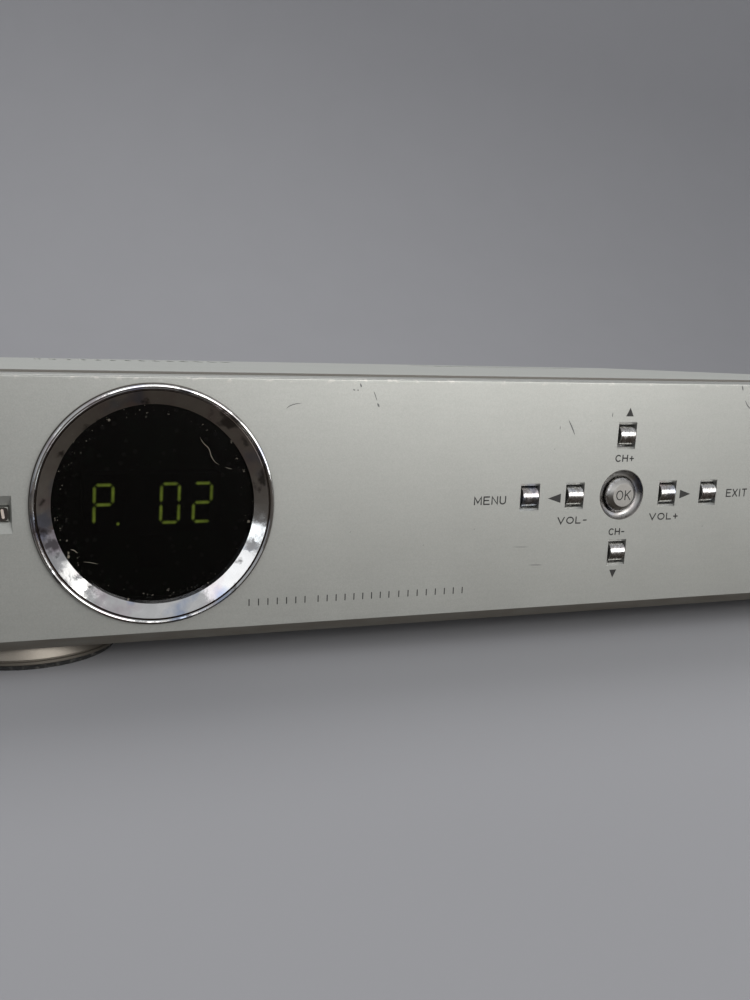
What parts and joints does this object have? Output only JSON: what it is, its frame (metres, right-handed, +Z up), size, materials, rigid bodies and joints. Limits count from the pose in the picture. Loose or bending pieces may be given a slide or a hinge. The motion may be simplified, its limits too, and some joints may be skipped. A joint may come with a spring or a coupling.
{
  "type": "satellite tv receiver",
  "caption": "Low box-shaped receiver with a silver front, a round smoked display window in a chrome ring, a cross of chrome push keys and round feet.",
  "frame": {"origin": "on the floor under the middle of the whole receiver", "axes": "+X to the right seen from the front, +Y to the back, +Z up; the front faces -Y"},
  "size_m": [0.3422, 0.234, 0.0696],
  "materials": {
    "silver_moulding": "light silver lacquer on moulded plastic, fine metallic grain",
    "chrome_plate": "bright chrome plating",
    "smoked_lens": "polished smoked acrylic",
    "display_black": "matt black",
    "segment_light": "dim yellow-green light windows",
    "sensor_resin": "dark translucent resin",
    "standby_key": "silver lacquer",
    "black_plastic": "fine grained black plastic",
    "switch_body": "tin frame on a black body",
    "circuit_green": "green solder mask",
    "cover_paint": "satin silver paint on folded steel",
    "zinc_steel": "zinc coated steel",
    "foot_silver": "silver moulded foot with a bright lip",
    "pad_rubber": "black rubber",
    "black_screw": "black oxide",
    "zinc_screw": "zinc plated",
    "brass_part": "turned brass",
    "chip_black": "moulded epoxy",
    "heatsink_metal": "extruded aluminium",
    "tinned_can": "tinned steel",
    "nickel_thread": "nickel plated",
    "socket_black": "black moulded plastic",
    "phono_nickel": "nickel plated shells",
    "phono_colours": "yellow, red and white moulded inserts",
    "serial_metal": "tinned shell",
    "board_tan": "tan laminate",
    "transformer_body": "ferrite core and taped winding",
    "capacitor_sleeve": "dark blue sleeve",
    "fuse_metal": "glass fuse in tinned clips",
    "inlet_black": "black moulded plastic",
    "pin_metal": "nickel plated pins",
    "rocker_black": "black rocker",
    "cable_grey": "grey ribbon",
    "cable_white": "white plugs and leads",
    "key_chrome": "chrome plated keys"
  },
  "bodies": {
    "case": {"front_panel": "silver_moulding", "window_ring": "chrome_plate", "window_lens": "smoked_lens", "display_module": "display_black", "digit_segments": "segment_light", "infrared_sensor": "sensor_resin", "key_guide": "black_plastic", "tact_switches": "switch_body", "front_board": "circuit_green", "top_cover": "cover_paint", "chassis": "zinc_steel", "rear_panel": "zinc_steel", "foot_front_left": "foot_silver", "foot_front_right": "foot_silver", "foot_rear_left": "foot_silver", "foot_rear_right": "foot_silver", "foot_pads": "pad_rubber", "case_screws": "black_screw", "board_screws": "zinc_screw", "board_standoffs": "brass_part", "main_board": "circuit_green", "decoder_chip": "chip_black", "decoder_heatsink": "heatsink_metal", "memory_chips": "chip_black", "tuner_can": "tinned_can", "f_connectors": "nickel_thread", "scart_tv": "socket_black", "scart_vcr": "socket_black", "rca_block": "socket_black", "rca_shells": "phono_nickel", "rca_inserts": "phono_colours", "serial_port": "serial_metal", "power_board": "board_tan", "transformer": "transformer_body", "input_capacitor": "capacitor_sleeve", "output_capacitors": "capacitor_sleeve", "power_heatsink": "heatsink_metal", "fuse": "fuse_metal", "mains_inlet": "inlet_black", "inlet_pins": "pin_metal", "switch_housing": "inlet_black", "ribbon_cable": "cable_grey", "supply_cable": "cable_white"},
    "menu_key": {"key_menu": "key_chrome", "plunger_menu": "black_plastic"},
    "vol_down_key": {"key_vol_down": "key_chrome", "plunger_vol_down": "black_plastic"},
    "ok_key": {"key_ok": "key_chrome", "plunger_ok": "black_plastic"},
    "vol_up_key": {"key_vol_up": "key_chrome", "plunger_vol_up": "black_plastic"},
    "exit_key": {"key_exit": "key_chrome", "plunger_exit": "black_plastic"},
    "ch_up_key": {"key_ch_up": "key_chrome", "plunger_ch_up": "black_plastic"},
    "ch_down_key": {"key_ch_down": "key_chrome", "plunger_ch_down": "black_plastic"},
    "standby_key": {"key_standby": "standby_key", "plunger_standby": "black_plastic"},
    "rocker": {"power_rocker": "rocker_black"}
  },
  "joints": [
    {"name": "menu_press", "type": "slide", "parent": "case", "child": "menu_key", "axis": [0, 1, 0], "range_m": [0, 0.0005], "stiffness_N_per_m": 400},
    {"name": "vol_down_press", "type": "slide", "parent": "case", "child": "vol_down_key", "axis": [0, 1, 0], "range_m": [0, 0.0005], "stiffness_N_per_m": 400},
    {"name": "ok_press", "type": "slide", "parent": "case", "child": "ok_key", "axis": [0, 1, 0], "range_m": [0, 0.0005], "stiffness_N_per_m": 400},
    {"name": "vol_up_press", "type": "slide", "parent": "case", "child": "vol_up_key", "axis": [0, 1, 0], "range_m": [0, 0.0005], "stiffness_N_per_m": 400},
    {"name": "exit_press", "type": "slide", "parent": "case", "child": "exit_key", "axis": [0, 1, 0], "range_m": [0, 0.0005], "stiffness_N_per_m": 400},
    {"name": "ch_up_press", "type": "slide", "parent": "case", "child": "ch_up_key", "axis": [0, 1, 0], "range_m": [0, 0.0005], "stiffness_N_per_m": 400},
    {"name": "ch_down_press", "type": "slide", "parent": "case", "child": "ch_down_key", "axis": [0, 1, 0], "range_m": [0, 0.0005], "stiffness_N_per_m": 400},
    {"name": "standby_press", "type": "slide", "parent": "case", "child": "standby_key", "axis": [0, 1, 0], "range_m": [0, 0.0005], "stiffness_N_per_m": 400},
    {"name": "rocker_tilt", "type": "hinge", "parent": "case", "child": "rocker", "pos_m": [-0.12353, 0.1055, 0.0243], "axis": [1, 0, 0], "range_deg": [0, 22]}
  ]
}
